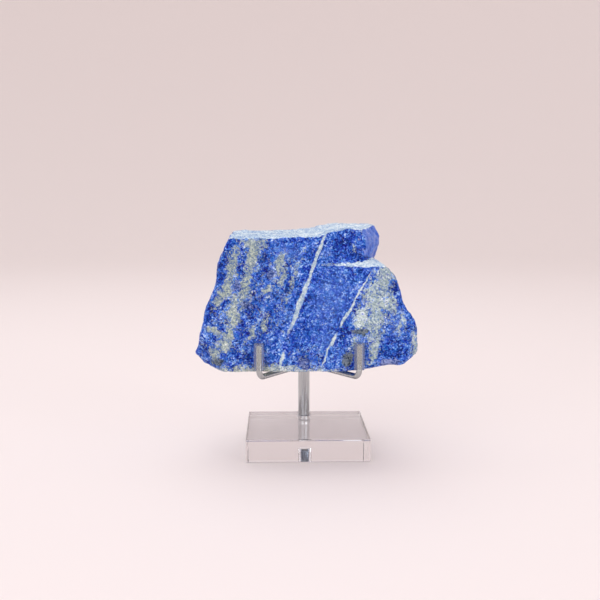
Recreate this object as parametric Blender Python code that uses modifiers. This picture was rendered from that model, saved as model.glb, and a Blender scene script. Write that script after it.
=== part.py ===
"""Rough lapis lazuli held up by a small display stand.

The stone sits on two wire arms, behind two short hooks in clear sleeves, and leans on a post at its
back. The post stands in a clear square block. Lengths below are in millimetres and are turned into
metres where meshes are made. X is to the right, Y to the back, Z up, and the origin is the centre of
the block's underside.
"""
import math

import bmesh
import bpy
from mathutils import Matrix, Vector, noise

MM = 0.001
# Room kept between neighbours, and how far a cutter runs past the face that it opens
GAP = 0.3
OVERSHOOT = 2.0
# Points nearer than this are one point
MERGE = 0.01

# Clear base block
BLOCK_SIDE = 38.0
BLOCK_HEIGHT = 6.9
BLOCK_EDGE = 0.25
BORE_FLOOR = 1.5

# Post and collar
POST_X = -0.4
POST_Y = 13.8
POST_RADIUS = 1.9
POST_TOP = 59.0
POST_TIP_EDGE = 0.8
COLLAR_RADIUS = 4.6
COLLAR_HEIGHT = 6.0
COLLAR_EDGE = 0.6
SOCKET_DEPTH = 1.9

# Wire arms and their hooks
WIRE_RADIUS = 0.85
ARM_LEVEL = 28.5
ARM_SPACING = 3.0
SPLAY_ANGLE = math.radians(33.0)
SPLAY_BEND = 12.0
HOOK_BEND = 2.2
HOOK_Y = -31.6
HOOK_X_LEFT = -14.6
HOOK_X_RIGHT = 14.2
HOOK_TOP = 37.8
ARC_STEPS = 8

# Clear sleeves
SLEEVE_WALL = 0.35
SLEEVE_OVERHANG = 0.6
BACK_SLEEVE_LENGTH = 12.0
BACK_SLEEVE_OVERHANG = 0.8

# Stone: its own frame leans back with its front face, and its height 0 is the level of the arms
STONE_X = -2.75
STONE_FRONT_Y = -30.1
STONE_LEAN = math.radians(6.5)
STONE_DEPTH = 41.0
STONE_GRAIN = 0.75
STONE_FACES = 6200
SEED_OFFSET = Vector((41.3, -7.9, 12.6))
# Each lump size has the depth that it raises or sinks the surface by
LUMPS = ((11.0, 0.62), (4.6, 0.34), (2.0, 0.17))

# Outlines of the stone's three masses, as (across, up), seen from the front
SLAB_OUTLINE = (
    (-22.6, 35.6), (-23.9, 31.0), (-24.3, 27.3), (-25.5, 23.9), (-27.0, 20.3), (-28.1, 15.8),
    (-29.9, 8.9), (-30.9, 6.9), (-30.4, 4.8), (-28.0, 3.7), (-23.9, 2.2), (-21.6, 1.3),
    (-21.0, 0.0), (10.0, 0.0), (18.9, 2.1), (25.0, 3.3), (30.7, 3.5), (32.2, 5.0),
    (34.5, 6.2), (35.6, 8.5), (35.6, 11.2), (34.6, 13.6), (33.3, 16.6), (31.6, 18.9),
    (29.6, 23.0), (28.9, 26.6), (27.3, 29.7), (25.1, 31.8), (22.8, 33.8), (18.0, 37.5),
)
SHOULDER_OUTLINE = (
    (-21.2, 38.9), (-23.0, 34.6), (-23.6, 31.5), (-23.0, 20.0), (3.0, 20.0), (5.2, 33.9),
    (6.0, 48.0), (-18.5, 48.0),
)
KNOB_OUTLINE = (
    (-4.0, 26.0), (19.6, 26.0), (25.0, 31.0), (25.0, 48.0), (-4.0, 48.0),
)

# Flat breaks, each a point on the plane and the direction that points away from the stone
SLAB_BREAKS = (
    ((0.0, 0.0, 32.0), (0.0, -0.5, 1.0)),
    ((0.0, 0.0, 32.7), (0.0, -0.22, 1.0)),
    ((31.8, 0.0, 10.3), (0.69, -0.7, -0.21)),
    ((-26.8, 0.0, 9.6), (-0.6, -0.65, -0.45)),
    ((0.0, 0.0, 2.3), (0.0, -0.72, -0.69)),
    ((27.7, 0.0, 30.3), (0.62, -0.5, 0.6)),
)
SHOULDER_BREAKS = (
    ((0.0, 0.0, 40.5), (-0.01, -0.19, 1.0)),
    ((-22.5, 0.0, 37.3), (-0.8, -0.5, 0.45)),
)
KNOB_BREAKS = (
    ((0.0, 0.0, 40.0), (-0.19, -0.19, 1.0)),
    ((13.3, 0.0, 43.1), (0.02, -0.14, 1.0)),
    ((19.2, 1.4, 38.0), (0.918, -0.396, 0.0)),
    ((24.6, 13.0, 40.9), (0.773, -0.351, 0.529)),
    ((24.1, 13.0, 39.2), (0.88, -0.178, -0.44)),
    ((24.6, 13.0, 38.0), (0.969, 0.245, 0.0)),
    ((5.2, 0.0, 36.0), (0.135, -0.99, 0.02)),
)
BACK_BREAKS = (
    ((0.0, 38.1, 20.0), (0.05, 1.0, 0.04)),
    ((-22.5, 28.5, 18.0), (-0.75, 0.65, 0.08)),
    ((-28.2, 12.0, 14.0), (-0.95, 0.27, 0.14)),
    ((25.5, 26.0, 14.0), (0.78, 0.6, 0.12)),
    ((32.1, 9.0, 14.0), (0.92, 0.34, 0.12)),
    ((0.0, 18.5, 44.9), (-0.11, 0.34, 0.93)),
    ((8.0, 35.0, 36.5), (0.22, 0.72, 0.62)),
    ((-14.0, 33.0, 33.5), (-0.35, 0.7, 0.62)),
    ((0.0, 35.5, 5.5), (-0.06, 0.66, -0.74)),
    ((26.0, 17.0, 5.0), (0.62, 0.3, -0.72)),
    ((-24.0, 18.0, 5.0), (-0.66, 0.3, -0.68)),
)


def srgb(hex_colour):
    """Turn a screen colour such as '8A8A8C' into the linear values that a shader takes."""
    channels = [int(hex_colour[i:i + 2], 16) / 255.0 for i in (0, 2, 4)]
    linear = [c / 12.92 if c <= 0.04045 else ((c + 0.055) / 1.055) ** 2.4 for c in channels]
    return (*linear, 1.0)


def make_material(name, colour, roughness, metallic=0.0, transmission=0.0, ior=1.5):
    material = bpy.data.materials.new(name)
    material.use_nodes = True
    shader = material.node_tree.nodes["Principled BSDF"]
    shader.inputs["Base Color"].default_value = srgb(colour)
    shader.inputs["Roughness"].default_value = roughness
    shader.inputs["Metallic"].default_value = metallic
    shader.inputs["Transmission Weight"].default_value = transmission
    shader.inputs["IOR"].default_value = ior
    return material


def make_collection(name):
    collection = bpy.data.collections.new(name)
    bpy.context.scene.collection.children.link(collection)
    return collection


def add_object(name, data, collection, material=None):
    obj = bpy.data.objects.new(name, data)
    collection.objects.link(obj)
    if material:
        data.materials.append(material)
    return obj


def mesh_from_bmesh(name, bm):
    mesh = bpy.data.meshes.new(name)
    bm.to_mesh(mesh)
    bm.free()
    return mesh


def smooth_round(mesh, limit_degrees=35.0):
    mesh.shade_smooth()
    mesh.set_sharp_from_angle(angle=math.radians(limit_degrees))


def cylinder_mesh(name, radius, low, high, centre, edge=0.0, sides=40):
    """An upright cylinder between two heights, with its rims chamfered by the edge width."""
    bm = bmesh.new()
    height = high - low
    middle = Vector((centre[0], centre[1], (low + high) / 2.0)) * MM
    bmesh.ops.create_cone(bm, cap_ends=True, segments=sides, radius1=radius * MM,
                          radius2=radius * MM, depth=height * MM,
                          matrix=Matrix.Translation(middle))
    if edge:
        rims = [e for e in bm.edges if any(len(f.verts) == sides for f in e.link_faces)]
        bmesh.ops.bevel(bm, geom=rims, offset=edge * MM, segments=2, profile=0.5,
                        affect="EDGES", material=-1, clamp_overlap=True)
    return mesh_from_bmesh(name, bm)


def subtract(target, cutter):
    cut = target.modifiers.new("Cut " + cutter.name, "BOOLEAN")
    cut.object = cutter
    cut.operation = "DIFFERENCE"
    cut.solver = "EXACT"
    cutter.hide_render = True
    cutter.display_type = "WIRE"


def build_block(parts, cutters):
    bm = bmesh.new()
    bmesh.ops.create_cube(bm, size=1.0)
    bmesh.ops.scale(bm, vec=Vector((BLOCK_SIDE, BLOCK_SIDE, BLOCK_HEIGHT)) * MM, verts=bm.verts)
    bmesh.ops.translate(bm, vec=(0.0, 0.0, BLOCK_HEIGHT * MM / 2.0), verts=bm.verts)
    bmesh.ops.bevel(bm, geom=bm.edges[:], offset=BLOCK_EDGE * MM, segments=2, profile=0.5,
                    affect="EDGES", material=-1, clamp_overlap=True)
    clear = make_material("Clear cast acrylic", "F4F4F6", 0.03, transmission=1.0, ior=1.49)
    block = add_object("base_block", mesh_from_bmesh("base_block", bm), parts, clear)
    bore = cylinder_mesh("post_bore", POST_RADIUS + GAP, BORE_FLOOR, BLOCK_HEIGHT + OVERSHOOT,
                         (POST_X, POST_Y), sides=48)
    subtract(block, add_object("post_bore", bore, cutters))


def build_post(parts, steel):
    mesh = cylinder_mesh("post", POST_RADIUS, BORE_FLOOR + GAP, POST_TOP, (POST_X, POST_Y),
                         edge=POST_TIP_EDGE)
    smooth_round(mesh)
    add_object("post", mesh, parts, steel)


def build_collar(parts, cutters, steel):
    low = ARM_LEVEL - COLLAR_HEIGHT / 2.0
    high = ARM_LEVEL + COLLAR_HEIGHT / 2.0
    mesh = cylinder_mesh("collar", COLLAR_RADIUS, low, high, (POST_X, POST_Y), edge=COLLAR_EDGE)
    smooth_round(mesh)
    collar = add_object("collar", mesh, parts, steel)
    bore = cylinder_mesh("collar_bore", POST_RADIUS + GAP, low - OVERSHOOT, high + OVERSHOOT,
                         (POST_X, POST_Y), sides=48)
    subtract(collar, add_object("collar_bore", bore, cutters))
    for side, label in ((-1, "left"), (1, "right")):
        socket = cylinder_mesh("socket_" + label, WIRE_RADIUS + GAP, -OVERSHOOT, SOCKET_DEPTH,
                               (0.0, 0.0), sides=24)
        hole = add_object("socket_" + label, socket, cutters)
        hole.rotation_euler = (math.radians(-90.0), 0.0, 0.0)
        hole.location = Vector((POST_X + side * ARM_SPACING / 2.0, POST_Y - COLLAR_RADIUS,
                                ARM_LEVEL)) * MM
        subtract(collar, hole)


def rounded_path(corners, radii):
    """Points along straight runs between the corners, with an arc of each radius at each bend."""
    points = [corners[0]]
    for before, corner, after, radius in zip(corners, corners[1:], corners[2:], radii):
        into = (corner - before).normalized()
        out = (after - corner).normalized()
        turn = into.angle(out)
        start = corner - into * radius * math.tan(turn / 2.0)
        side = (out - into * into.dot(out)).normalized()
        for step in range(ARC_STEPS + 1):
            swept = turn * step / ARC_STEPS
            points.append(start + into * radius * math.sin(swept) +
                          side * radius * (1.0 - math.cos(swept)))
    points.append(corners[-1])
    return points


def arm_path(side, hook_x):
    """An arm's centre line: out of the collar, splayed outwards, and up at the hook."""
    socket_x = POST_X + side * ARM_SPACING / 2.0
    socket_y = POST_Y - COLLAR_RADIUS + SOCKET_DEPTH - GAP
    splay_y = HOOK_Y + abs(hook_x - socket_x) / math.tan(SPLAY_ANGLE)
    corners = [
        Vector((socket_x, socket_y, ARM_LEVEL)),
        Vector((socket_x, splay_y, ARM_LEVEL)),
        Vector((hook_x, HOOK_Y, ARM_LEVEL)),
        Vector((hook_x, HOOK_Y, HOOK_TOP)),
    ]
    return rounded_path(corners, (SPLAY_BEND, HOOK_BEND))


def build_arm(label, side, hook_x, parts, steel):
    curve = bpy.data.curves.new("arm_" + label, "CURVE")
    curve.dimensions = "3D"
    curve.bevel_depth = WIRE_RADIUS * MM
    curve.bevel_resolution = 4
    curve.use_fill_caps = True
    spline = curve.splines.new("POLY")
    points = arm_path(side, hook_x)
    spline.points.add(len(points) - 1)
    for spot, point in zip(spline.points, points):
        spot.co = (*(point * MM), 1.0)
    add_object("arm_" + label, curve, parts, steel)


def tube_mesh(name, inner, outer, low, high, centre, sides=28):
    """A straight open tube, turned from a rectangle that is the wall's section."""
    bm = bmesh.new()
    ring = [(outer, high), (outer, low), (inner, low), (inner, high)]
    verts = [bm.verts.new((centre[0] * MM + r * MM, centre[1] * MM, z * MM)) for r, z in ring]
    loop = [bm.edges.new((verts[i - 1], verts[i])) for i in range(len(verts))]
    bmesh.ops.spin(bm, geom=verts + loop, cent=Vector((*centre, 0.0)) * MM, axis=(0, 0, 1),
                   angle=2.0 * math.pi, steps=sides, use_merge=True)
    bmesh.ops.remove_doubles(bm, verts=bm.verts, dist=MERGE * MM)
    bmesh.ops.recalc_face_normals(bm, faces=bm.faces)
    mesh = mesh_from_bmesh(name, bm)
    smooth_round(mesh)
    return mesh


def build_sleeves(parts):
    vinyl = make_material("Clear vinyl tube", "DCDCE0", 0.2, transmission=0.8, ior=1.53)
    inner = WIRE_RADIUS + GAP
    for label, hook_x in (("left", HOOK_X_LEFT), ("right", HOOK_X_RIGHT)):
        mesh = tube_mesh("sleeve_" + label, inner, inner + SLEEVE_WALL,
                         ARM_LEVEL + HOOK_BEND, HOOK_TOP + SLEEVE_OVERHANG, (hook_x, HOOK_Y))
        add_object("sleeve_" + label, mesh, parts, vinyl)
    inner = POST_RADIUS + GAP
    high = POST_TOP + BACK_SLEEVE_OVERHANG
    mesh = tube_mesh("sleeve_back", inner, inner + SLEEVE_WALL, high - BACK_SLEEVE_LENGTH, high,
                     (POST_X, POST_Y))
    add_object("sleeve_back", mesh, parts, vinyl)


def solid_outline(name, outline, depth, collection):
    """A flat outline given depth, standing up with its front face at depth 0."""
    curve = bpy.data.curves.new(name, "CURVE")
    curve.dimensions = "2D"
    curve.fill_mode = "BOTH"
    curve.extrude = depth * MM / 2.0
    spline = curve.splines.new("POLY")
    spline.points.add(len(outline) - 1)
    for spot, (across, up) in zip(spline.points, outline):
        spot.co = (across * MM, up * MM, 0.0, 1.0)
    spline.use_cyclic_u = True
    flat = add_object(name, curve, collection)
    flat.rotation_euler = (math.radians(90.0), 0.0, 0.0)
    flat.location = (0.0, depth * MM / 2.0, 0.0)
    bpy.context.view_layer.update()
    mesh = bpy.data.meshes.new_from_object(
        flat.evaluated_get(bpy.context.evaluated_depsgraph_get()))
    bm = bmesh.new()
    bm.from_mesh(mesh)
    bmesh.ops.transform(bm, matrix=flat.matrix_world, verts=bm.verts)
    bmesh.ops.remove_doubles(bm, verts=bm.verts, dist=MERGE * MM)
    bmesh.ops.recalc_face_normals(bm, faces=bm.faces)
    bpy.data.objects.remove(flat)
    bpy.data.meshes.remove(mesh)
    return bm


def break_off(bm, breaks):
    """Cut the mass along each plane, drop what lies outside, and close the cut."""
    for point, outwards in breaks:
        geometry = bm.verts[:] + bm.edges[:] + bm.faces[:]
        cut = bmesh.ops.bisect_plane(bm, geom=geometry, plane_co=Vector(point) * MM,
                                     plane_no=Vector(outwards).normalized(), clear_outer=True)
        rim = [item for item in cut["geom_cut"] if isinstance(item, bmesh.types.BMEdge)]
        if rim:
            bmesh.ops.holes_fill(bm, edges=rim, sides=0)
    bmesh.ops.triangulate(bm, faces=bm.faces)
    bmesh.ops.recalc_face_normals(bm, faces=bm.faces)


def apply_modifiers(obj, name):
    """The object's evaluated shape as a mesh of its own, with the modifiers used up."""
    bpy.context.view_layer.update()
    mesh = bpy.data.meshes.new_from_object(
        obj.evaluated_get(bpy.context.evaluated_depsgraph_get()))
    mesh.name = name
    obj.modifiers.clear()
    obj.data = mesh
    return mesh


def roughen(mesh):
    """Raise lumps and sink pits along the surface's normals, the same way on every run."""
    moved = []
    for vertex in mesh.vertices:
        place = vertex.co / MM
        height = sum(depth * noise.noise(place / size + SEED_OFFSET * (1 + i))
                     for i, (size, depth) in enumerate(LUMPS))
        moved.append(vertex.co + vertex.normal * height * MM)
    for vertex, place in zip(mesh.vertices, moved):
        vertex.co = place


def stone_to_world():
    lean = Matrix.Rotation(-STONE_LEAN, 4, "X")
    place = Matrix.Translation(Vector((STONE_X, STONE_FRONT_Y, ARM_LEVEL)) * MM)
    return place @ lean


def build_stone(parts, cutters):
    masses = (
        ("slab", SLAB_OUTLINE, SLAB_BREAKS + BACK_BREAKS),
        ("shoulder", SHOULDER_OUTLINE, SHOULDER_BREAKS + BACK_BREAKS),
        ("knob", KNOB_OUTLINE, KNOB_BREAKS + BACK_BREAKS),
    )
    blue = make_material("Lapis lazuli", "2F55C8", 0.55)
    solids = []
    for name, outline, breaks in masses:
        bm = solid_outline(name, outline, STONE_DEPTH, cutters)
        break_off(bm, breaks)
        solids.append(add_object(name, mesh_from_bmesh(name, bm), cutters))
    stone = add_object("lapis_stone", solids[0].data.copy(), parts)
    for mass in solids[1:]:
        join = stone.modifiers.new("Join " + mass.name, "BOOLEAN")
        join.operation = "UNION"
        join.solver = "EXACT"
        join.object = mass
    for mass in solids:
        mass.hide_render = True
        mass.display_type = "WIRE"
    grain = stone.modifiers.new("Grain", "REMESH")
    grain.mode = "VOXEL"
    grain.voxel_size = STONE_GRAIN * MM
    roughen(apply_modifiers(stone, "lapis_stone"))
    thin = stone.modifiers.new("Facets", "DECIMATE")
    triangles = sum(len(p.vertices) - 2 for p in stone.data.polygons)
    thin.ratio = STONE_FACES / triangles
    apply_modifiers(stone, "lapis_stone")
    rest_stone(stone)
    stone.data.materials.clear()
    stone.data.materials.append(blue)


def rest_stone(stone):
    """Put the stone in its place and cut its underside flat, just clear of the arms."""
    bm = bmesh.new()
    bm.from_mesh(stone.data)
    bmesh.ops.transform(bm, matrix=stone_to_world(), verts=bm.verts)
    rest = ARM_LEVEL + WIRE_RADIUS + GAP
    geometry = bm.verts[:] + bm.edges[:] + bm.faces[:]
    cut = bmesh.ops.bisect_plane(bm, geom=geometry, plane_co=(0.0, 0.0, rest * MM),
                                 plane_no=(0.0, 0.0, -1.0), clear_outer=True)
    rim = [item for item in cut["geom_cut"] if isinstance(item, bmesh.types.BMEdge)]
    bmesh.ops.holes_fill(bm, edges=rim, sides=0)
    bmesh.ops.dissolve_degenerate(bm, dist=2.0 * MERGE * MM, edges=bm.edges)
    bmesh.ops.triangulate(bm, faces=bm.faces)
    bm.to_mesh(stone.data)
    bm.free()


def main():
    for obj in list(bpy.data.objects):
        bpy.data.objects.remove(obj)
    parts = make_collection("Rough lapis lazuli on a stand")
    cutters = make_collection("Cutters")
    steel = make_material("Polished steel", "9A9A9C", 0.25, metallic=1.0)
    build_stone(parts, cutters)
    build_block(parts, cutters)
    build_post(parts, steel)
    build_collar(parts, cutters, steel)
    build_arm("left", -1, HOOK_X_LEFT, parts, steel)
    build_arm("right", 1, HOOK_X_RIGHT, parts, steel)
    build_sleeves(parts)


main()
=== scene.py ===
"""The looks of the rough lapis lazuli and its display stand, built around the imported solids.

Lengths are in millimetres and become metres where meshes are made; the studio alone is in metres.
X is to the right, Y to the back, Z up, and the origin is the centre of the clear block's underside.
The stone's markings are laid out in the stone's own frame: across and up along its front face, and
into its depth.
"""
import math
from types import SimpleNamespace

import bmesh
import bpy
from mathutils import Matrix, Vector, noise


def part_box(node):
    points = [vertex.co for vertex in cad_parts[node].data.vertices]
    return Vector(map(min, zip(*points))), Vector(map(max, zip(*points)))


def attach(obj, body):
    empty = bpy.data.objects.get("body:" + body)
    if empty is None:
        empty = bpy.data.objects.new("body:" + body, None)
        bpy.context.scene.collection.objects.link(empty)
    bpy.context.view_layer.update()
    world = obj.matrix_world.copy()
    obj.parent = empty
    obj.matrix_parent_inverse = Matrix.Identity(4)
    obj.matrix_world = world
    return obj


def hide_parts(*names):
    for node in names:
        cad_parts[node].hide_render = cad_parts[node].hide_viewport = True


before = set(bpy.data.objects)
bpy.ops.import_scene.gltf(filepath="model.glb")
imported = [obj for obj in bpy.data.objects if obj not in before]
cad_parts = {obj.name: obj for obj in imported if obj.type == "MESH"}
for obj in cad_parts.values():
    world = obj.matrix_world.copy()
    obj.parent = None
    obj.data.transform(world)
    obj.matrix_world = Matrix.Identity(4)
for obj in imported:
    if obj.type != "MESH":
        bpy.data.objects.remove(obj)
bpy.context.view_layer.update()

MM = 0.001
MERGE_DISTANCE = 0.002

# Clear base block
BLOCK_SIDE = 38.0
BLOCK_HEIGHT = 6.9
BLOCK_EDGE = 0.25
BORE_RADIUS = 2.2
BORE_FLOOR = 1.5
BORE_RIM = 0.2
BORE_SIDES = 96

# Post, collar and back sleeve
POST_X = -0.4
POST_Y = 13.8
POST_RADIUS = 1.9
POST_EDGE = 0.8
COLLAR_RADIUS = 4.6
COLLAR_EDGE = 0.6
COLLAR_SLACK = 0.05

# Wire arms and their hooks
WIRE_RADIUS = 0.85
ARM_LEVEL = 28.5
ARM_SPACING = 3.0
SOCKET_END = 10.8
SPLAY_ANGLE = math.radians(33.0)
SPLAY_BEND = 12.0
HOOK_BEND = 2.2
HOOK_Y = -31.6
HOOK_X = {"left": -14.6, "right": 14.2}
HOOK_TOP = 37.8
HOOK_TIP = 0.3
HOOK_TIP_SHARE = 0.7
WIRE_SIDES = 32
BEND_STEPS = 14
SIDES = {"left": -1, "right": 1}

# Clear sleeves: the wire fills each one, and the wall is what is left of its outer radius
SLEEVE_SLACK = 0.03
SLEEVE_LIP = 0.12

# The stone's own frame
STONE_CORNER = (-2.75, -30.1, 28.5)
STONE_LEAN = math.radians(6.5)
STONE_GRID = 0.4
SMOOTHING_PASSES = 2
LARGEST_RISE = 0.2
RELIEF_SEED = Vector((17.3, 5.9, -31.7))

# The stone's grain: clusters of crystals, single grains in them, and the noise that shades them.
# Its bedding leans to the right, and the bands along it are thin, deep and long
CRYSTAL_SIZE = 0.6
GRAIN_SIZE = 0.34
SUGAR_SIZE = 0.7
MOTTLE_SIZE = 3.0
WARMTH_SIZE = 5.0
BEDDING_LEAN = 20.0
BEDDING_SIZE = (3.2, 16.0, 11.0)

# Markings drift in long waves and fray in short ones: the size of each kind of wave, and the span
# over which it moves a vein and a patch
WAVE_SIZES = (6.0, 1.4)
VEIN_WANDER = (1.4, 0.9)
PATCH_WANDER = (2.0, 2.8)

# The camera, matched to the photograph's view
CAMERA_PLACE = (-9.7, -303.7, 81.9)
CAMERA_TILT = 83.503
CAMERA_TURN = -1.442
LENS = 57.77
SENSOR_WIDTH = 36.0
NEAREST_SEEN = 10.0


def linear(hex_colour):
    """Turn an sRGB hex colour such as '2F55C8' into the linear values that a shader takes."""
    channels = [int(hex_colour[i:i + 2], 16) / 255.0 for i in (0, 2, 4)]
    values = [c / 12.92 if c <= 0.04045 else ((c + 0.055) / 1.055) ** 2.4 for c in channels]
    return (*values, 1.0)


def add(tree, kind, settings=None, links=None):
    """Add a node, give it its settings, socket values and colour stops, and link what feeds it."""
    made = tree.nodes.new("ShaderNode" + kind)
    for name, value in (settings or {}).items():
        if name == "stops":
            ramp = made.color_ramp
            ramp.elements.remove(ramp.elements[1])
            ramp.elements[0].position = value[0][0]
            ramp.elements[0].color = linear(value[0][1])
            for place, colour in value[1:]:
                ramp.elements.new(place).color = linear(colour)
        elif isinstance(name, int) or name in made.inputs:
            made.inputs[name].default_value = value
        else:
            setattr(made, name, value)
    for name, source in (links or {}).items():
        if isinstance(source, bpy.types.Node):
            source = source.outputs[0]
        tree.links.new(source, made.inputs[name])
    return made


def new_material(name):
    """An empty material with its Principled shader, and object coordinates in millimetres."""
    material = bpy.data.materials.new(name)
    material.use_nodes = True
    tree = material.node_tree
    shader = tree.nodes["Principled BSDF"]
    place = add(tree, "TexCoord")
    place_mm = add(tree, "Mapping", {"vector_type": "TEXTURE", "Scale": (MM, MM, MM)},
                   {"Vector": place.outputs["Object"]})
    return material, tree, shader, place_mm


def add_piece(name, bm, material, stands_for, smooth_up_to=35.0):
    """Finish a piece: its mesh, its material, the body it joins and the node that it stands for."""
    mesh = bpy.data.meshes.new(name)
    bm.to_mesh(mesh)
    bm.free()
    mesh.shade_smooth()
    mesh.set_sharp_from_angle(angle=math.radians(smooth_up_to))
    piece = bpy.data.objects.new(name, mesh)
    bpy.context.scene.collection.objects.link(piece)
    mesh.materials.append(material)
    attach(piece, "root")
    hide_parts(stands_for)
    return piece


# Markings of the stone, each a lens: across, up, half width, half length, lean in degrees, half depth
VEINS = (
    (4.9, 34.4, 0.5, 8.8, 20.4, 60.0),
    (0.0, 21.0, 0.66, 9.6, 20.4, 60.0),
    (-5.4, 4.9, 0.6, 2.4, 20.0, 20.0),
    (17.6, 25.0, 0.24, 7.0, 28.6, 40.0),
    (13.8, 18.0, 0.42, 4.6, 29.8, 40.0),
    (9.4, 10.4, 0.46, 2.4, 28.0, 12.0),
    (7.4, 6.0, 0.22, 3.0, 20.0, 20.0),
)
FAINT_VEINS = (
    (8.5, 32.3, 5.5, 0.6, 0.0, 6.0),
    (-1.1, 29.8, 0.8, 10.5, 20.0, 30.0),
    (30.0, 16.6, 0.55, 3.4, -10.0, 20.0),
    (28.9, 13.7, 0.5, 2.8, 10.0, 20.0),
    (-15.6, 20.6, 0.5, 3.0, 50.0, 10.0),
)
CALCITE = (
    (-19.6, 32.2, 1.5, 6.0, 10.0, 30.0),
    (-21.9, 24.6, 1.5, 4.8, 30.0, 16.0),
    (-13.6, 35.1, 1.8, 6.0, 20.0, 30.0),
    (-15.9, 26.0, 1.4, 6.6, 10.0, 20.0),
    (-13.2, 38.3, 4.0, 1.8, 0.0, 10.0),
    (-18.6, 21.8, 1.2, 1.6, -30.0, 10.0),
    (-19.2, 17.6, 1.5, 3.4, 0.0, 12.0),
    (-20.7, 12.4, 1.4, 2.6, 20.0, 12.0),
    (-25.1, 13.3, 2.2, 1.1, 20.0, 8.0),
    (-22.0, 8.8, 2.4, 1.6, 0.0, 8.0),
    (-24.6, 6.6, 1.5, 1.6, 0.0, 8.0),
    (-13.9, 12.6, 0.8, 2.0, 20.0, 6.0),
    (-10.6, 14.4, 0.8, 2.4, 10.0, 6.0),
    (-9.2, 25.1, 1.3, 1.1, 0.0, 6.0),
    (-4.8, 28.8, 0.8, 2.4, 20.0, 6.0),
    (-5.8, 32.9, 1.2, 2.8, 20.0, 6.0),
    (24.5, 28.8, 3.0, 4.8, 20.0, 30.0),
    (22.2, 22.9, 4.2, 6.0, 20.0, 30.0),
    (25.8, 21.2, 2.5, 3.2, 20.0, 14.0),
    (18.1, 17.2, 2.6, 3.6, 20.0, 14.0),
    (21.6, 14.9, 3.2, 5.2, 20.0, 20.0),
    (21.5, 7.8, 1.6, 4.6, 10.0, 20.0),
    (15.6, 9.4, 0.9, 2.6, 20.0, 10.0),
    (33.6, 9.1, 1.5, 4.0, 0.0, 10.0),
    (15.9, 37.4, 0.7, 1.5, 10.0, 3.0),
    (-9.0, 0.8, 21.0, 2.6, 0.0, 30.0),
)
WHITE_CALCITE = (
    (17.8, 17.2, 2.0, 3.4, 20.0, 10.0),
    (-21.7, 8.8, 1.2, 0.9, 0.0, 8.0),
    (-10.0, 0.8, 20.0, 2.0, 0.0, 30.0),
    (-19.0, 17.8, 1.1, 2.0, 0.0, 8.0),
    (-24.9, 13.4, 2.0, 0.9, 20.0, 8.0),
    (24.8, 21.6, 1.4, 1.4, 0.0, 8.0),
    (-5.2, 5.4, 0.8, 2.4, 20.0, 8.0),
    (33.6, 10.4, 1.2, 2.0, 0.0, 8.0),
)
DUSTED = (
    (-17.0, 21.0, 9.0, 21.0, 20.0, 40.0),
    (-4.6, 31.5, 4.6, 7.0, 20.0, 20.0),
    (-7.4, 20.0, 4.5, 10.0, 10.0, 20.0),
    (2.5, 6.0, 6.0, 3.0, 0.0, 20.0),
    (29.0, 14.0, 3.4, 7.0, -10.0, 20.0),
)
DEEP_BLUE = (
    (-17.0, 31.8, 0.9, 2.5, 10.0, 6.0),
    (-22.3, 33.0, 1.2, 5.2, 20.0, 12.0),
    (-25.8, 19.0, 1.5, 3.6, 20.0, 12.0),
    (-9.8, 36.0, 1.2, 5.0, 20.0, 20.0),
    (-11.0, 31.0, 1.5, 3.2, 20.0, 12.0),
    (-12.4, 22.4, 2.1, 5.0, 0.0, 16.0),
    (-3.2, 25.9, 1.0, 2.7, 20.0, 8.0),
    (-9.2, 16.0, 1.1, 4.2, 10.0, 8.0),
    (-10.4, 3.4, 2.6, 2.4, 0.0, 10.0),
    (-15.2, 5.2, 2.2, 2.2, 0.0, 10.0),
    (-27.4, 7.8, 2.4, 2.2, 0.0, 6.0),
    (12.4, 37.6, 3.4, 3.4, 0.0, 8.0),
    (17.0, 35.1, 2.1, 2.1, 0.0, 8.0),
    (12.5, 12.0, 1.5, 2.1, 20.0, 8.0),
    (26.9, 25.6, 1.3, 2.4, -20.0, 8.0),
    (26.7, 18.4, 1.0, 1.1, 0.0, 6.0),
    (26.6, 6.6, 5.2, 2.2, 0.0, 12.0),
    (1.4, 4.5, 2.2, 2.7, 0.0, 8.0),
)
LIGHT_BLUE = (
    (-3.0, 17.4, 1.8, 2.2, 10.0, 8.0),
    (8.7, 21.8, 6.0, 9.5, 20.0, 14.0),
    (7.0, 10.5, 3.2, 3.2, 0.0, 10.0),
    (7.8, 35.6, 2.6, 1.4, 0.0, 8.0),
    (-3.5, 35.5, 4.5, 3.0, 0.0, 8.0),
    (28.5, 15.0, 2.6, 5.0, 10.0, 10.0),
)
GREY_ROCK = (
    (13.6, 4.7, 1.9, 2.4, 0.0, 8.0),
    (17.2, 12.7, 2.8, 1.2, 0.0, 6.0),
    (-24.2, 4.4, 2.8, 1.3, 0.0, 8.0),
)
VIOLET_ROCK = (
    (-18.2, 26.2, 1.3, 2.2, 10.0, 6.0),
    (-15.4, 20.4, 2.2, 1.5, 0.0, 6.0),
    (-8.4, 29.6, 1.2, 2.2, 20.0, 6.0),
    (1.2, 3.8, 2.0, 1.8, 0.0, 6.0),
    (26.0, 4.0, 4.5, 1.1, 0.0, 8.0),
)

# Faces with a thin pale skin: a point on the face, its outward direction, how far above the face the
# skin may still lie, and how much of the face it covers
PALE_SKINS = (
    ((0.0, 0.0, 40.5), (-0.03, -0.19, 1.0), 9.0, 1.0),
    ((0.0, 0.0, 32.4), (0.0, -0.36, 1.0), 1.2, 1.8),
    ((0.0, 0.0, 2.3), (0.0, -0.72, -0.69), 9.0, 0.3),
)
# The knob's right side is one smooth joint face, violet-blue, and its colour also holds painted light
# that makes it lighter than the front
KNOB_SIDE = ((19.2, 1.4, 38.0), (0.9, -0.35, 0.05), 34.5)


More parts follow.
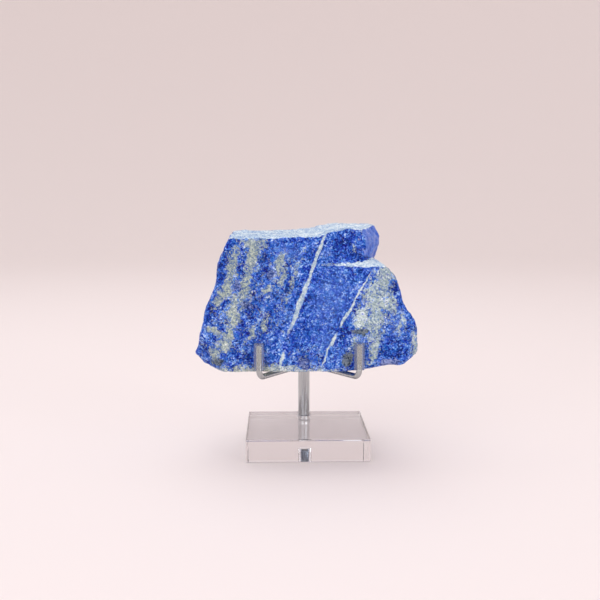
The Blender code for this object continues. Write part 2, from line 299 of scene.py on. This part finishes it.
def nearest_lens(tree, place, turned, lenses):
    """How far a point is from the nearest of these lenses, 1 at a lens's rim and 0 at its heart.
    The place as each lean sees it is kept in turned, so that other lenses can share it."""
    nearest = None
    for across, up, half_width, half_length, lean, half_depth in lenses:
        if lean not in turned:
            turned[lean] = add(tree, "Mapping", {
                "vector_type": "TEXTURE", "Rotation": (0.0, math.radians(lean), 0.0)},
                {"Vector": place})
        centre = Matrix.Rotation(-math.radians(lean), 3, "Y") @ Vector((across, 0.0, up))
        sizes = (half_width, half_depth, half_length)
        local = add(tree, "VectorMath", {
            "operation": "MULTIPLY_ADD", 1: [1.0 / size for size in sizes],
            2: [-c / size for c, size in zip(centre, sizes)]}, {0: turned[lean]})
        far = add(tree, "VectorMath", {"operation": "LENGTH"}, {0: local}).outputs["Value"]
        if nearest is None:
            nearest = far
        else:
            nearest = add(tree, "Math", {"operation": "MINIMUM"}, {0: nearest, 1: far}).outputs[0]
    return nearest


def weigh(tree, shares, offset=0.0):
    """The sum of several values, each times its share, plus an offset."""
    total = None
    for source, share in shares:
        settings = {"operation": "MULTIPLY_ADD", 1: share}
        links = {0: source}
        if total is None:
            settings[2] = offset
        else:
            links[2] = total
        total = add(tree, "Math", settings, links)
    return total


def lens_mask(tree, where, lenses, inner, outer):
    """1 within the inner rim of any of these lenses, fading to 0 at the outer rim."""
    place, turned = where
    far = nearest_lens(tree, place, turned, lenses)
    return add(tree, "MapRange", {
        "interpolation_type": "SMOOTHSTEP", "From Min": inner, "From Max": outer,
        "To Min": 1.0, "To Max": 0.0}, {"Value": far}).outputs[0]


def stone_patterns(tree):
    """What the stone's minerals share: places in its own frame in millimetres, still and wandering,
    the crystals and grains with three random values each, and the noise that shades them."""
    place = add(tree, "TexCoord")
    own = add(tree, "Mapping", {
        "vector_type": "TEXTURE", "Location": Vector(STONE_CORNER) * MM,
        "Rotation": (-STONE_LEAN, 0.0, 0.0), "Scale": (MM, MM, MM)},
        {"Vector": place.outputs["Object"]})
    waves = [
        add(tree, "VectorMath", {"operation": "SUBTRACT", 1: (0.5, 0.5, 0.5)},
            {0: add(tree, "TexNoise", {"Scale": 1.0 / size, "Detail": 2.0},
                    {"Vector": own}).outputs["Color"]})
        for size in WAVE_SIZES]
    wandering = []
    for reaches in (VEIN_WANDER, PATCH_WANDER):
        moved = own
        for wave, reach in zip(waves, reaches):
            moved = add(tree, "VectorMath", {
                "operation": "MULTIPLY_ADD", 1: (reach, reach, reach)}, {0: wave, 2: moved})
        wandering.append(moved)
    vein_place, patch_place = wandering

    crystals = add(tree, "TexVoronoi", {"Scale": 1.0 / CRYSTAL_SIZE}, {"Vector": patch_place})
    fine = add(tree, "TexVoronoi", {"Scale": 1.0 / GRAIN_SIZE}, {"Vector": own})
    cluster = add(tree, "SeparateColor", {}, {0: crystals.outputs["Color"]}).outputs
    grain = add(tree, "SeparateColor", {}, {0: fine.outputs["Color"]}).outputs
    sugar = add(tree, "TexNoise", {"Scale": 1.0 / SUGAR_SIZE, "Detail": 3.0, "Roughness": 0.7},
                {"Vector": own})
    mottle = add(tree, "TexNoise", {"Scale": 1.0 / MOTTLE_SIZE, "Detail": 4.0, "Roughness": 0.6},
                 {"Vector": own})
    warmth = add(tree, "TexNoise", {"Scale": 1.0 / WARMTH_SIZE, "Detail": 2.0},
                 {"Vector": patch_place})
    bedding = add(tree, "Mapping", {
        "vector_type": "TEXTURE", "Rotation": (0.0, math.radians(BEDDING_LEAN), 0.0),
        "Scale": BEDDING_SIZE}, {"Vector": own})
    bands = add(tree, "TexNoise", {"Scale": 1.0, "Detail": 3.0, "Roughness": 0.55},
                {"Vector": bedding})
    return SimpleNamespace(
        own=own, veins=(vein_place, {}), patches=(patch_place, {}), crystals=crystals, fine=fine,
        cluster=cluster, grain=grain, sugar=sugar, mottle=mottle, warmth=warmth, bands=bands)


def blue_grains(tree, stone):
    """Lazurite: blue grains, mottled, banded along the bedding, with named dark and milky spots."""
    dark = lens_mask(tree, stone.patches, DEEP_BLUE, 0.4, 1.4)
    shade = weigh(tree, (
        (stone.cluster[0], 0.55), (stone.grain[0], 0.36), (stone.sugar, 0.8), (stone.mottle, 0.6),
        (stone.bands, 0.5), (dark, -0.18)), -0.97)
    blue = add(tree, "ValToRGB", {"stops": (
        (0.04, "021464"), (0.20, "082A90"), (0.36, "1846B4"), (0.50, "3060C8"),
        (0.64, "5480DC"), (0.80, "8CB0F0"), (0.96, "D4E6FC"))}, {"Fac": shade})
    tilt = add(tree, "MapRange", {"To Min": 0.488, "To Max": 0.508}, {"Value": stone.cluster[2]})
    blue = add(tree, "HueSaturation", {}, {"Hue": tilt, "Color": blue})
    milky = add(tree, "MapRange", {"To Max": 0.28},
                {"Value": lens_mask(tree, stone.patches, LIGHT_BLUE, 0.3, 1.3)})
    return add(tree, "Mix", {"data_type": "RGBA", 7: linear("5C80D2")},
               {0: milky, 6: blue}).outputs[2]


def calcite_grains(tree, stone):
    """Calcite: grey grains with white ones, beige to the left, whiter and cooler to the right. Gives
    the colour, and the shade that skins, veins and darker minerals vary with as well."""
    spot = add(tree, "SeparateXYZ", {}, {0: stone.own}).outputs
    rightwards = add(tree, "MapRange", {"From Min": -12.0, "From Max": 16.0}, {"Value": spot["X"]})
    white = lens_mask(tree, stone.patches, WHITE_CALCITE, 0.4, 1.3)
    shade = weigh(tree, (
        (stone.grain[2], 0.4), (stone.cluster[2], 0.35), (stone.mottle, 0.5), (stone.sugar, 0.6),
        (rightwards, 0.1), (white, 0.2)), -0.46)
    pale = add(tree, "ValToRGB", {"stops": (
        (0.14, "3E5EA8"), (0.30, "7088AE"), (0.44, "94A4A4"), (0.60, "B2C0BA"),
        (0.78, "CEDAD8"), (0.96, "F2F6F6"))}, {"Fac": shade})
    stain = add(tree, "Mix", {"data_type": "RGBA", 6: linear("F8F6E8"), 7: linear("F6FCFC")},
                {0: rightwards}).outputs[2]
    stained = add(tree, "MapRange", {"From Min": 0.35, "From Max": 0.6, "To Min": 0.4},
                  {"Value": stone.warmth})
    pale = add(tree, "Mix", {"data_type": "RGBA", "blend_type": "MULTIPLY"},
               {0: stained, 6: pale.outputs[0], 7: stain}).outputs[2]
    return pale, shade


def calcite_share(tree, stone, draw):
    """How much of each grain is calcite: seldom any in clean blue, mostly all in a patch. On the
    hidden sides the patches are bands along the bedding."""
    spot = add(tree, "SeparateXYZ", {}, {0: stone.own}).outputs
    hidden = add(tree, "MapRange", {"From Min": 4.0, "From Max": 12.0}, {"Value": spot["Y"]})
    banded = add(tree, "MapRange", {"From Min": 0.5, "From Max": 0.68},
                 {"Value": stone.bands.outputs["Fac"]})
    hidden_bands = add(tree, "Math", {"operation": "MULTIPLY"}, {0: hidden, 1: banded})
    patches = add(tree, "Math", {"operation": "MAXIMUM"},
                  {0: lens_mask(tree, stone.patches, CALCITE, 0.2, 1.6), 1: hidden_bands})
    dusted = lens_mask(tree, stone.patches, DUSTED, 0.5, 1.3)
    faint = lens_mask(tree, stone.veins, FAINT_VEINS, 0.3, 1.3)
    share = weigh(tree, ((patches, 0.58), (dusted, 0.16), (faint, 0.3), (stone.mottle, 0.4),
                         (draw, -1.0)), -0.02)
    return add(tree, "MapRange", {"From Min": -0.14, "From Max": 0.18, "To Max": 0.95},
               {"Value": share}).outputs[0]


def with_dark_minerals(tree, stone, draw, shade, colour):
    """Darker minerals between: a grey-green one at the foot, and a violet-grey one in the blue."""
    for lenses, stops in ((GREY_ROCK, ((0.3, "1C2226"), (0.5, "465052"), (0.7, "7C8682"))),
                          (VIOLET_ROCK, ((0.3, "26346E"), (0.5, "54669E"), (0.7, "909CCA")))):
        rock = add(tree, "ValToRGB", {"stops": stops}, {"Fac": shade})
        there = weigh(tree, ((lens_mask(tree, stone.patches, lenses, 0.1, 1.6), 1.0), (draw, -0.8)))
        there = add(tree, "MapRange", {"From Min": 0.0, "From Max": 0.25, "To Max": 0.85},
                    {"Value": there})
        colour = add(tree, "Mix", {"data_type": "RGBA"}, {0: there, 6: colour, 7: rock}).outputs[2]
    return colour


def on_joint_face(tree, stone, point, outwards, full_from):
    """What tells a flat joint face of the stone: how far a point lies outwards from the stone's own
    origin, the level of the face itself, and how fully the surface there is turned the same way."""
    normal = Vector(outwards).normalized()
    surface = add(tree, "NewGeometry")
    lean = Matrix.Rotation(-STONE_LEAN, 3, "X")
    above = add(tree, "VectorMath", {"operation": "DOT_PRODUCT", 1: normal},
                {0: stone.own}).outputs["Value"]
    facing = add(tree, "VectorMath", {"operation": "DOT_PRODUCT", 1: lean @ normal},
                 {0: surface.outputs["Normal"]})
    aligned = add(tree, "MapRange", {"interpolation_type": "SMOOTHSTEP", "From Min": 0.6,
                                     "From Max": full_from}, {"Value": facing.outputs["Value"]})
    return above, normal.dot(Vector(point)), aligned


def with_pale_skins(tree, stone, draw, shade, colour):
    """Pale skins: flat joint faces with a thin coat of calcite, thinner to the right."""
    spot = add(tree, "SeparateXYZ", {}, {0: stone.own}).outputs
    thinner = add(tree, "MapRange", {"From Min": 6.0, "From Max": 24.0, "To Min": 1.0,
                                     "To Max": 0.7}, {"Value": spot["X"]})
    coat = None
    for point, outwards, reach, cover in PALE_SKINS:
        above, level, aligned = on_joint_face(tree, stone, point, outwards, 0.88)
        skin = add(tree, "MapRange", {"From Min": level - 1.2, "From Max": level - 0.6,
                                      "To Max": cover}, {"Value": above})
        below = add(tree, "MapRange", {"From Min": level + reach, "From Max": level + reach + 0.4,
                                       "To Min": 1.0, "To Max": 0.0}, {"Value": above})
        for part in (below, aligned, thinner):
            skin = add(tree, "Math", {"operation": "MULTIPLY"}, {0: skin, 1: part})
        if coat is None:
            coat = skin
        else:
            coat = add(tree, "Math", {"operation": "MAXIMUM"}, {0: coat, 1: skin})
    coat = weigh(tree, ((coat, 1.0), (draw, -0.7), (stone.warmth, -0.9)), 0.4)
    coat = add(tree, "MapRange", {"From Min": 0.0, "From Max": 0.25}, {"Value": coat})
    skin_shade = weigh(tree, ((shade, 1.0), (stone.mottle, 0.5), (stone.warmth, -0.4)), -0.05)
    skin_colour = add(tree, "ValToRGB", {"stops": (
        (0.20, "7E9CCA"), (0.45, "B0C9DE"), (0.65, "D2E3EC"), (0.88, "F0F8FA"))},
        {"Fac": skin_shade})
    return add(tree, "Mix", {"data_type": "RGBA"}, {0: coat, 6: colour, 7: skin_colour}).outputs[2]


def with_veins(tree, stone, draw, shade, colour):
    """Veins: old cracks filled with calcite, sugary at their edges."""
    veins = weigh(tree, ((lens_mask(tree, stone.veins, VEINS, 0.3, 1.5), 1.0), (draw, -0.5)))
    veins = add(tree, "MapRange", {"From Min": -0.05, "From Max": 0.4}, {"Value": veins})
    vein_shade = weigh(tree, ((shade, 0.8),), 0.22)
    vein_colour = add(tree, "ValToRGB", {"stops": (
        (0.35, "86A2C6"), (0.60, "B0C6D2"), (0.85, "DAE4E4"))}, {"Fac": vein_shade})
    return add(tree, "Mix", {"data_type": "RGBA"}, {0: veins, 6: colour, 7: vein_colour}).outputs[2]


def with_knob_side_and_painted_light(tree, stone, colour):
    """The knob's side: grains sheared flat, so it is even in tone, and painted light makes it lighter
    than the front.
    """
    point, outwards, lowest = KNOB_SIDE
    above, level, aligned = on_joint_face(tree, stone, point, outwards, 0.85)
    spot = add(tree, "SeparateXYZ", {}, {0: stone.own}).outputs
    side = add(tree, "Math", {"operation": "MULTIPLY", 1: 0.7}, {0: aligned})
    for source, start in ((above, level - 3.0), (spot["Z"], lowest)):
        beyond = add(tree, "MapRange", {"From Min": start, "From Max": start + 0.8},
                     {"Value": source})
        side = add(tree, "Math", {"operation": "MULTIPLY"}, {0: side, 1: beyond})
    # Painted light: these stops are lighter than the front's blue, so the side looks lit over its own
    # violet-blue
    side_colour_and_painted_light = add(tree, "ValToRGB", {"stops": (
        (0.35, "3A60CC"), (0.5, "6A8CE2"), (0.68, "A6A8E0"))}, {"Fac": stone.mottle.outputs["Fac"]})
    return add(tree, "Mix", {"data_type": "RGBA"}, {0: side, 6: colour, 7: side_colour_and_painted_light}).outputs[2]


def lapis_material():
    """Lapis lazuli, broken and left rough: a sugary mass of grains 0.3 to 0.6 mm across, most of them
    blue, some of white or grey calcite. Calcite is dusted through the blue, gathers in patches, and
    fills old cracks as white veins. The eye sees speckle, not a flat blue."""
    material, tree, shader, _ = new_material("Lapis lazuli, rough broken")
    stone = stone_patterns(tree)
    blue = blue_grains(tree, stone)
    pale, shade = calcite_grains(tree, stone)

    # Each grain's draw: the lower it is, the sooner another mineral takes the place of the blue
    draw = weigh(tree, ((stone.cluster[1], 0.4), (stone.grain[1], 0.3), (stone.sugar, 0.6)), -0.15)
    calcite = calcite_share(tree, stone, draw)
    colour = add(tree, "Mix", {"data_type": "RGBA"}, {0: calcite, 6: blue, 7: pale}).outputs[2]
    colour = with_dark_minerals(tree, stone, draw, shade, colour)
    colour = with_pale_skins(tree, stone, draw, shade, colour)
    colour = with_veins(tree, stone, draw, shade, colour)
    colour = with_knob_side_and_painted_light(tree, stone, colour)
    tree.links.new(colour, shader.inputs["Base Color"])

    # Broken grains: some faces glint, most are dull
    gloss = add(tree, "MapRange", {"To Min": 0.62, "To Max": 0.34}, {"Value": stone.grain[0]})
    tree.links.new(gloss.outputs[0], shader.inputs["Roughness"])
    shader.inputs["IOR"].default_value = 1.5
    shader.inputs["Specular IOR Level"].default_value = 0.12

    # Relief too fine for the mesh: single grains stand out by about 0.1 mm
    grit = weigh(tree, ((stone.fine.outputs["Distance"], 0.6),
                        (stone.crystals.outputs["Distance"], 1.0)))
    bump = add(tree, "Bump", {"Strength": 0.55, "Distance": 0.14 * MM}, {"Height": grit})
    tree.links.new(bump.outputs[0], shader.inputs["Normal"])
    return material


def steel_material(name, marks):
    """Steel, lightly polished: soft grey with fine marks that run one way, so its reflections blur a
    little and vary across the marks. The marks' size is across, deep and high, in millimetres."""
    material, tree, shader, place = new_material(name)
    shader.inputs["Metallic"].default_value = 1.0
    marks = add(tree, "Mapping", {"vector_type": "TEXTURE", "Scale": marks}, {"Vector": place})
    streaks = add(tree, "TexNoise", {"Scale": 1.0, "Detail": 3.0, "Roughness": 0.5},
                  {"Vector": marks})
    tone = add(tree, "ValToRGB", {"stops": ((0.3, "ABAEB0"), (0.7, "C0C2C3"))},
               {"Fac": streaks.outputs["Fac"]})
    tree.links.new(tone.outputs[0], shader.inputs["Base Color"])
    dulled = add(tree, "MapRange", {"From Min": 0.35, "From Max": 0.65, "To Min": 0.18,
                                    "To Max": 0.28}, {"Value": streaks.outputs["Fac"]})
    tree.links.new(dulled.outputs[0], shader.inputs["Roughness"])
    bump = add(tree, "Bump", {"Strength": 0.05, "Distance": 0.004 * MM},
               {"Height": streaks.outputs["Fac"]})
    tree.links.new(bump.outputs[0], shader.inputs["Normal"])
    return material


def acrylic_material(name, smoothest, roughest):
    """Cast acrylic: clear and nearly colourless. Polished faces are smooth, and a drilled bore is a
    little rough, so what is seen through it blurs."""
    material, tree, shader, place = new_material(name)
    shader.inputs["Base Color"].default_value = linear("FBFBFD")
    shader.inputs["Transmission Weight"].default_value = 1.0
    shader.inputs["IOR"].default_value = 1.49
    wear = add(tree, "TexNoise", {"Scale": 1.0 / 1.5, "Detail": 6.0, "Roughness": 0.7},
               {"Vector": place})
    rough = add(tree, "MapRange", {"From Min": 0.35, "From Max": 0.7, "To Min": smoothest,
                                   "To Max": roughest}, {"Value": wear.outputs["Fac"]})
    tree.links.new(rough.outputs[0], shader.inputs["Roughness"])
    absorb = add(tree, "VolumeAbsorption", {"Color": linear("E6EAF2"), "Density": 3.0})
    output = tree.nodes["Material Output"]
    tree.links.new(absorb.outputs[0], output.inputs["Volume"])
    return material


def vinyl_material():
    """Clear soft vinyl tube, extruded: see-through with a slight milky haze."""
    material, tree, shader, place = new_material("Clear vinyl tube, extruded")
    shader.inputs["Base Color"].default_value = linear("F0F2F2")
    shader.inputs["Transmission Weight"].default_value = 0.95
    shader.inputs["IOR"].default_value = 1.45
    haze = add(tree, "TexNoise", {"Scale": 1.0 / 0.8, "Detail": 4.0}, {"Vector": place})
    rough = add(tree, "MapRange", {"From Min": 0.35, "From Max": 0.65, "To Min": 0.03,
                                   "To Max": 0.09}, {"Value": haze.outputs["Fac"]})
    tree.links.new(rough.outputs[0], shader.inputs["Roughness"])
    return material


def to_stone_frame(point):
    """A world point in metres, in the stone's own frame in millimetres."""
    return Matrix.Rotation(STONE_LEAN, 3, "X") @ (point / MM - Vector(STONE_CORNER))


def broken_surface(place):
    """How far the broken surface rises at a point of the stone's own frame, in millimetres."""
    along = Matrix.Rotation(math.radians(-BEDDING_LEAN), 3, "Y") @ place
    steps = noise.noise(Vector((along.x / 1.4, along.y / 3.0, along.z / 4.5)) + RELIEF_SEED)
    chips = noise.noise(place / 2.1 - RELIEF_SEED)
    grains = noise.noise(place / 0.8 + RELIEF_SEED * 2.0)
    crust = noise.noise(place / 0.42 - RELIEF_SEED * 3.0)
    return min(LARGEST_RISE, 0.16 * steps + 0.2 * chips + 0.16 * grains + 0.1 * crust)


def rough_stone(material):
    """The stone on a fine grid, with its flat facets softened and its surface broken up."""
    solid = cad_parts["lapis_stone"]
    bm = bmesh.new()
    bm.from_mesh(solid.data)
    bmesh.ops.remove_doubles(bm, verts=bm.verts, dist=MERGE_DISTANCE * MM)
    coarse = bpy.data.meshes.new("coarse_stone")
    bm.to_mesh(coarse)
    bm.free()
    helper = bpy.data.objects.new("coarse_stone", coarse)
    bpy.context.scene.collection.objects.link(helper)
    grid = helper.modifiers.new("Fine grid", "REMESH")
    grid.mode = "VOXEL"
    grid.voxel_size = STONE_GRID * MM
    bpy.context.view_layer.update()
    fine = bpy.data.meshes.new_from_object(
        helper.evaluated_get(bpy.context.evaluated_depsgraph_get()))
    bpy.data.objects.remove(helper)

    bm = bmesh.new()
    bm.from_mesh(fine)
    for _ in range(SMOOTHING_PASSES):
        bmesh.ops.smooth_vert(bm, verts=bm.verts, factor=0.5, use_axis_x=True, use_axis_y=True,
                              use_axis_z=True)
    bm.normal_update()
    low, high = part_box("lapis_stone")
    moved = []
    for vert in bm.verts:
        spot = vert.co + vert.normal * broken_surface(to_stone_frame(vert.co)) * MM
        moved.append(Vector(min(max(c, a), b) for c, a, b in zip(spot, low, high)))
    for vert, spot in zip(bm.verts, moved):
        vert.co = spot
    return add_piece("rough_lapis", bm, material, "lapis_stone")


def clear_block(polished, drilled):
    """The base block: square, with broken edges and a blind bore for the post near its back."""
    bm = bmesh.new()
    bmesh.ops.create_cube(bm, size=1.0)
    bmesh.ops.scale(bm, vec=Vector((BLOCK_SIDE, BLOCK_SIDE, BLOCK_HEIGHT)) * MM, verts=bm.verts)
    bmesh.ops.translate(bm, vec=(0.0, 0.0, BLOCK_HEIGHT * MM / 2.0), verts=bm.verts)
    bmesh.ops.bevel(bm, geom=bm.edges[:], offset=BLOCK_EDGE * MM, segments=3, profile=0.5,
                    affect="EDGES", material=-1)
    top = max(bm.faces, key=lambda face: (round(face.normal.z, 3), face.calc_area()))
    frame_edges = top.edges[:]
    bmesh.ops.delete(bm, geom=[top], context="FACES_ONLY")
    mouth = bmesh.ops.create_circle(
        bm, segments=BORE_SIDES, radius=BORE_RADIUS * MM,
        matrix=Matrix.Translation(Vector((POST_X, POST_Y, BLOCK_HEIGHT)) * MM))["verts"]
    rim = list({edge for vert in mouth for edge in vert.link_edges})
    bmesh.ops.triangle_fill(bm, edges=frame_edges + rim, use_beauty=True)
    wall = bmesh.ops.extrude_edge_only(bm, edges=rim)["geom"]
    foot = [item for item in wall if isinstance(item, bmesh.types.BMVert)]
    bmesh.ops.translate(bm, vec=(0.0, 0.0, (BORE_FLOOR - BLOCK_HEIGHT) * MM), verts=foot)
    foot_edges = [item for item in wall if isinstance(item, bmesh.types.BMEdge) and
                  all(vert in set(foot) for vert in item.verts)]
    floor = bmesh.ops.holes_fill(bm, edges=foot_edges, sides=0)["faces"]
    for face in [item for item in wall if isinstance(item, bmesh.types.BMFace)] + floor:
        face.material_index = 1
    bmesh.ops.bevel(bm, geom=rim, offset=BORE_RIM * MM, segments=2, profile=0.5,
                    affect="EDGES", material=0)
    bmesh.ops.recalc_face_normals(bm, faces=bm.faces)
    block = add_piece("clear_block", bm, polished, "base_block", smooth_up_to=12.0)
    block.data.materials.append(drilled)
    return block


def turned(profile, centre, steps):
    """A turned piece: a profile of (radius, height) points spun round an upright axis."""
    bm = bmesh.new()
    verts = [bm.verts.new(Vector((centre[0] + r, centre[1], z)) * MM) for r, z in profile]
    edges = [bm.edges.new(pair) for pair in zip(verts, verts[1:])]
    if profile[0][0] > 0.0:
        edges.append(bm.edges.new((verts[-1], verts[0])))
    bmesh.ops.spin(bm, geom=verts + edges, cent=Vector((*centre, 0.0)) * MM, axis=(0.0, 0.0, 1.0),
                   angle=2.0 * math.pi, steps=steps, use_merge=True)
    bmesh.ops.remove_doubles(bm, verts=bm.verts, dist=MERGE_DISTANCE * MM)
    bmesh.ops.recalc_face_normals(bm, faces=bm.faces)
    return bm


def rounded_corner(radius, height, edge, turn_from, turn_to, points=5):
    """Points of a quarter round whose outer point is at this radius and height."""
    arc = []
    for i in range(points):
        angle = math.radians(turn_from + (turn_to - turn_from) * i / (points - 1))
        arc.append((radius + edge * math.cos(angle), height + edge * math.sin(angle)))
    return arc


def steel_post(steel):
    """A straight turned rod with round edges."""
    low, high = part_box("post")
    bottom = low.z / MM
    top = high.z / MM
    inner = POST_RADIUS - POST_EDGE
    profile = [(0.0, bottom), *rounded_corner(inner, bottom + POST_EDGE, POST_EDGE, -90.0, 0.0),
               *rounded_corner(inner, top - POST_EDGE, POST_EDGE, 0.0, 90.0), (0.0, top)]
    return add_piece("steel_post", turned(profile, (POST_X, POST_Y), 72), steel, "post")


def steel_collar(steel):
    """A turned ring with round edges that sits close on the post."""
    low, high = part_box("collar")
    bottom = low.z / MM
    top = high.z / MM
    inner = COLLAR_RADIUS - COLLAR_EDGE
    bore = POST_RADIUS + COLLAR_SLACK
    profile = [(bore, bottom), *rounded_corner(inner, bottom + COLLAR_EDGE, COLLAR_EDGE, -90.0, 0.0),
               *rounded_corner(inner, top - COLLAR_EDGE, COLLAR_EDGE, 0.0, 90.0), (bore, top)]
    return add_piece("steel_collar", turned(profile, (POST_X, POST_Y), 96), steel, "collar")


def steel_arm(label, steel):
    """One wire arm: a ring drawn out of the collar, bent outwards, and bent up into its hook."""
    hook_x = HOOK_X[label]
    socket_x = POST_X + SIDES[label] * ARM_SPACING / 2.0
    splay_y = HOOK_Y + abs(hook_x - socket_x) / math.tan(SPLAY_ANGLE)
    corners = [Vector((socket_x, SOCKET_END, ARM_LEVEL)), Vector((socket_x, splay_y, ARM_LEVEL)),
               Vector((hook_x, HOOK_Y, ARM_LEVEL)), Vector((hook_x, HOOK_Y, HOOK_TOP))]
    radii = [SPLAY_BEND, HOOK_BEND]
    bm = bmesh.new()
    facing = Matrix.Translation(corners[0] * MM) @ Matrix.Rotation(math.radians(90.0), 4, "X")
    verts = bmesh.ops.create_circle(bm, segments=WIRE_SIDES, radius=WIRE_RADIUS * MM,
                                    matrix=facing)["verts"]
    edges = list({edge for vert in verts for edge in vert.link_edges})
    here = corners[0]
    for i in range(len(radii)):
        into = (corners[i + 1] - corners[i]).normalized()
        out = (corners[i + 2] - corners[i + 1]).normalized()
        bend = into.angle(out)
        start = corners[i + 1] - into * radii[i] * math.tan(bend / 2.0)
        edges, verts = draw_out(bm, edges, start - here)
        side = (out - into * into.dot(out)).normalized()
        centre = start + side * radii[i]
        spun = bmesh.ops.spin(bm, geom=verts + edges, cent=centre * MM, axis=into.cross(out),
                              angle=bend, steps=BEND_STEPS)["geom_last"]
        edges = [item for item in spun if isinstance(item, bmesh.types.BMEdge)]
        verts = [item for item in spun if isinstance(item, bmesh.types.BMVert)]
        here = corners[i + 1] + out * radii[i] * math.tan(bend / 2.0)
    tip = Vector((0.0, 0.0, HOOK_TIP))
    edges, verts = draw_out(bm, edges, corners[-1] - tip - here)
    edges, verts = draw_out(bm, edges, tip)
    bmesh.ops.scale(bm, vec=(HOOK_TIP_SHARE, HOOK_TIP_SHARE, 1.0), verts=verts,
                    space=Matrix.Translation(Vector((-hook_x, -HOOK_Y, 0.0)) * MM))
    bmesh.ops.holes_fill(bm, edges=[e for e in bm.edges if e.is_boundary], sides=0)
    bmesh.ops.recalc_face_normals(bm, faces=bm.faces)
    return add_piece("steel_arm_" + label, bm, steel, "arm_" + label)


def draw_out(bm, edges, way):
    """Draw a ring of edges out along a straight way, and give the new ring's edges and points."""
    drawn = bmesh.ops.extrude_edge_only(bm, edges=edges)["geom"]
    verts = [item for item in drawn if isinstance(item, bmesh.types.BMVert)]
    ring = set(verts)
    edges = [item for item in drawn if isinstance(item, bmesh.types.BMEdge) and
             all(vert in ring for vert in item.verts)]
    bmesh.ops.translate(bm, vec=way * MM, verts=verts)
    return edges, verts


def clear_sleeve(label, core_radius, centre, vinyl):
    """A length of clear tube over a wire or rod, with softly rounded lips."""
    low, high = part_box("sleeve_" + label)
    inner = core_radius + SLEEVE_SLACK
    outer = (high.x - low.x) / MM / 2.0
    bottom = low.z / MM
    top = high.z / MM
    lip = SLEEVE_LIP
    profile = [
        *rounded_corner(outer - lip, bottom + lip, lip, -90.0, 0.0, 4),
        *rounded_corner(outer - lip, top - lip, lip, 0.0, 90.0, 4),
        *rounded_corner(inner + lip, top - lip, lip, 90.0, 180.0, 4),
        *rounded_corner(inner + lip, bottom + lip, lip, 180.0, 270.0, 4),
    ]
    return add_piece("clear_sleeve_" + label, turned(profile, centre, 48), vinyl,
                     "sleeve_" + label)


def studio():
    """A plain pale floor that curves up all round into a wall, soft light from above and from the
    front, and a narrow light at the front right that draws a bright line down steel and edges."""
    bm = bmesh.new()
    floor_radius = 0.8
    curve = 0.6
    curve_steps = 12
    wall_top = 2.0
    level = -0.0002
    verts = [bm.verts.new((0.0, 0.0, level)), bm.verts.new((floor_radius, 0.0, level))]
    for i in range(1, curve_steps + 1):
        angle = math.radians(90.0 * i / curve_steps)
        verts.append(bm.verts.new((floor_radius + curve * math.sin(angle), 0.0,
                                   level + curve * (1.0 - math.cos(angle)))))
    verts.append(bm.verts.new((floor_radius + curve, 0.0, wall_top)))
    edges = [bm.edges.new(pair) for pair in zip(verts, verts[1:])]
    bmesh.ops.spin(bm, geom=verts + edges, cent=(0.0, 0.0, 0.0), axis=(0.0, 0.0, 1.0),
                   angle=2.0 * math.pi, steps=96, use_merge=True)
    bmesh.ops.remove_doubles(bm, verts=bm.verts, dist=MERGE_DISTANCE * MM)
    bmesh.ops.recalc_face_normals(bm, faces=bm.faces)
    mesh = bpy.data.meshes.new("studio_floor")
    bm.to_mesh(mesh)
    bm.free()
    mesh.shade_smooth()
    floor = bpy.data.objects.new("studio_floor", mesh)
    bpy.context.scene.collection.objects.link(floor)
    paper, _, shader, _ = new_material("Matt backdrop paper")
    shader.inputs["Base Color"].default_value = linear("D9D0CE")
    shader.inputs["Roughness"].default_value = 0.9
    shader.inputs["Emission Color"].default_value = linear("F2E6E4")
    shader.inputs["Emission Strength"].default_value = 0.26
    mesh.materials.append(paper)

    middle = Vector((0.0, 0.0, 0.04))
    for name, spot, width, height, power, spread in (
            ("overhead_light", (-0.12, 0.1, 0.75), 0.8, 0.8, 2.6, 180.0),
            ("front_light", (-0.28, -0.6, 0.38), 0.6, 0.6, 0.72, 110.0),
            ("edge_light", (0.40, -0.42, 0.17), 0.10, 0.30, 0.11, 80.0)):
        light = bpy.data.lights.new(name, "AREA")
        light.shape = "RECTANGLE"
        light.size = width
        light.size_y = height
        light.energy = power
        light.color = linear("F4F9FF")[:3]
        light.spread = math.radians(spread)
        lamp = bpy.data.objects.new(name, light)
        lamp.location = spot
        aim = middle - Vector(spot)
        lamp.rotation_euler = aim.to_track_quat("-Z", "Y").to_euler()
        lamp.visible_camera = False
        bpy.context.scene.collection.objects.link(lamp)

    world = bpy.data.worlds.new("Soft studio")
    world.use_nodes = True
    sky = world.node_tree.nodes["Background"]
    sky.inputs["Color"].default_value = linear("F2F4F8")
    sky.inputs["Strength"].default_value = 0.6
    bpy.context.scene.world = world
    bpy.context.scene.view_settings.view_transform = "Standard"


def camera():
    """The camera, where the photograph was taken from."""
    lens = bpy.data.cameras.new("camera")
    lens.lens = LENS
    lens.sensor_width = SENSOR_WIDTH
    lens.clip_start = NEAREST_SEEN * MM
    lens.dof.use_dof = False
    eye = bpy.data.objects.new("camera", lens)
    eye.location = Vector(CAMERA_PLACE) * MM
    eye.rotation_euler = (math.radians(CAMERA_TILT), 0.0, math.radians(CAMERA_TURN))
    bpy.context.scene.collection.objects.link(eye)
    bpy.context.scene.camera = eye


camera()
studio()
drawn_steel = steel_material("Drawn steel, lightly polished", (0.35, 6.0, 6.0))
turned_steel = steel_material("Turned steel, lightly polished", (6.0, 6.0, 0.3))
vinyl = vinyl_material()
rough_stone(lapis_material())
clear_block(acrylic_material("Cast acrylic, polished", 0.0, 0.03),
            acrylic_material("Cast acrylic, drilled", 0.05, 0.2))
steel_post(drawn_steel)
steel_collar(turned_steel)
for label in SIDES:
    steel_arm(label, drawn_steel)
    clear_sleeve(label, WIRE_RADIUS, (HOOK_X[label], HOOK_Y), vinyl)
clear_sleeve("back", POST_RADIUS, (POST_X, POST_Y), vinyl)
